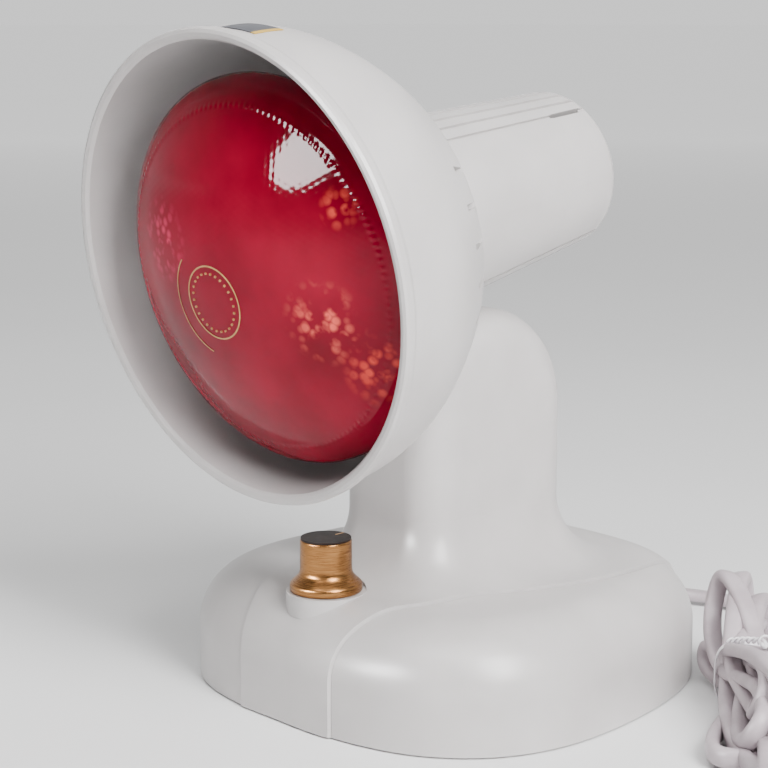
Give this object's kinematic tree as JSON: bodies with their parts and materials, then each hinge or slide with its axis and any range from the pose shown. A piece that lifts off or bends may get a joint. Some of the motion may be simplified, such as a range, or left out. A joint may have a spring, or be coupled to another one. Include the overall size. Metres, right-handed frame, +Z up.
{
  "type": "tabletop infrared heat lamp",
  "caption": "Tabletop infrared heat lamp: bell shade with a red reflector lamp tilting on a domed neck, weighted rounded base with a dimmer dial and a tied flat cord.",
  "frame": {"origin": "on the table, under the axis of the neck, in the middle of the base's width", "axes": "+Z up, the lamp shines towards -Y, +X to the right-hand cheek as seen from the front"},
  "size_m": [0.2709, 0.2359, 0.2175],
  "materials": {
    "body_plastic": "satin",
    "dark_plastic": "matte",
    "pad_rubber": "matte",
    "ballast_iron": "matte",
    "red_glass": "polished",
    "mirror_glass": "polished",
    "clear_glass": "polished",
    "cap_metal": "satin",
    "dark_insulator": "polished",
    "solder": "satin",
    "tungsten": "satin",
    "ceramic": "satin",
    "brass_parts": "satin",
    "steel_parts": "satin",
    "washer_fibre": "matte",
    "knob_aluminium": "brushed",
    "knob_top": "polished",
    "circuit_board": "matte",
    "copper_wire": "satin",
    "heat_sink_aluminium": "satin",
    "lead_sheath": "matte",
    "cord_sheath": "satin",
    "tie_white": "matte",
    "gland_rubber": "matte",
    "plug_plastic": "satin",
    "label_film": "satin"
  },
  "bodies": {
    "base": {"anti_slip_pad": "pad_rubber", "ballast_plate": "ballast_iron", "base_plate": "dark_plastic", "base_screws": "steel_parts", "board_screws": "steel_parts", "bracket_screws": "steel_parts", "centre_shell": "body_plastic", "clamp_screws": "steel_parts", "cord_clamp": "dark_plastic", "cord_entry": "cord_sheath", "cord_gland": "gland_rubber", "cord_hank": "cord_sheath", "cord_lead": "cord_sheath", "cord_tail": "cord_sheath", "dimmer_board": "circuit_board", "dimmer_lead": "lead_sheath", "film_capacitor": "dark_plastic", "friction_washers": "washer_fibre", "hank_tie": "tie_white", "hinge_bracket": "steel_parts", "left_cheek": "body_plastic", "neck_lead": "lead_sheath", "pivot_bolt": "steel_parts", "pivot_nut": "steel_parts", "plug_body": "plug_plastic", "plug_pins": "brass_parts", "potentiometer_bush": "brass_parts", "potentiometer_case": "steel_parts", "potentiometer_nut": "brass_parts", "right_cheek": "body_plastic", "spring_washer": "steel_parts", "suppressor_choke": "copper_wire", "terminal_block": "dark_plastic", "triac_heat_sink": "heat_sink_aluminium"},
    "head": {"arm_screws": "steel_parts", "blank_label": "label_film", "cap_contact": "solder", "cap_insulator": "dark_insulator", "centre_contact": "brass_parts", "filament": "tungsten", "filament_stem": "clear_glass", "head_lead": "lead_sheath", "holder_plate": "steel_parts", "holder_screws": "steel_parts", "lamp_cap": "cap_metal", "lamp_holder": "ceramic", "lamp_housing": "body_plastic", "lamp_lens": "red_glass", "lamp_reflector": "mirror_glass", "screw_shell": "brass_parts", "shade": "body_plastic", "shade_screws": "steel_parts", "tilt_arm": "body_plastic"},
    "dial": {"dial_knob": "knob_aluminium", "dial_cap": "knob_top", "potentiometer_shaft": "steel_parts"}
  },
  "joints": [
    {"name": "head_tilt", "type": "hinge", "parent": "base", "child": "head", "pos_m": [0, 0.001, 0.0915], "axis": [-1, 0, 0], "range_deg": [-12, 60]},
    {"name": "dial_turn", "type": "hinge", "parent": "base", "child": "dial", "pos_m": [0, -0.0579, 0.04], "axis": [0, 0, -1], "range_deg": [0, 270]}
  ]
}
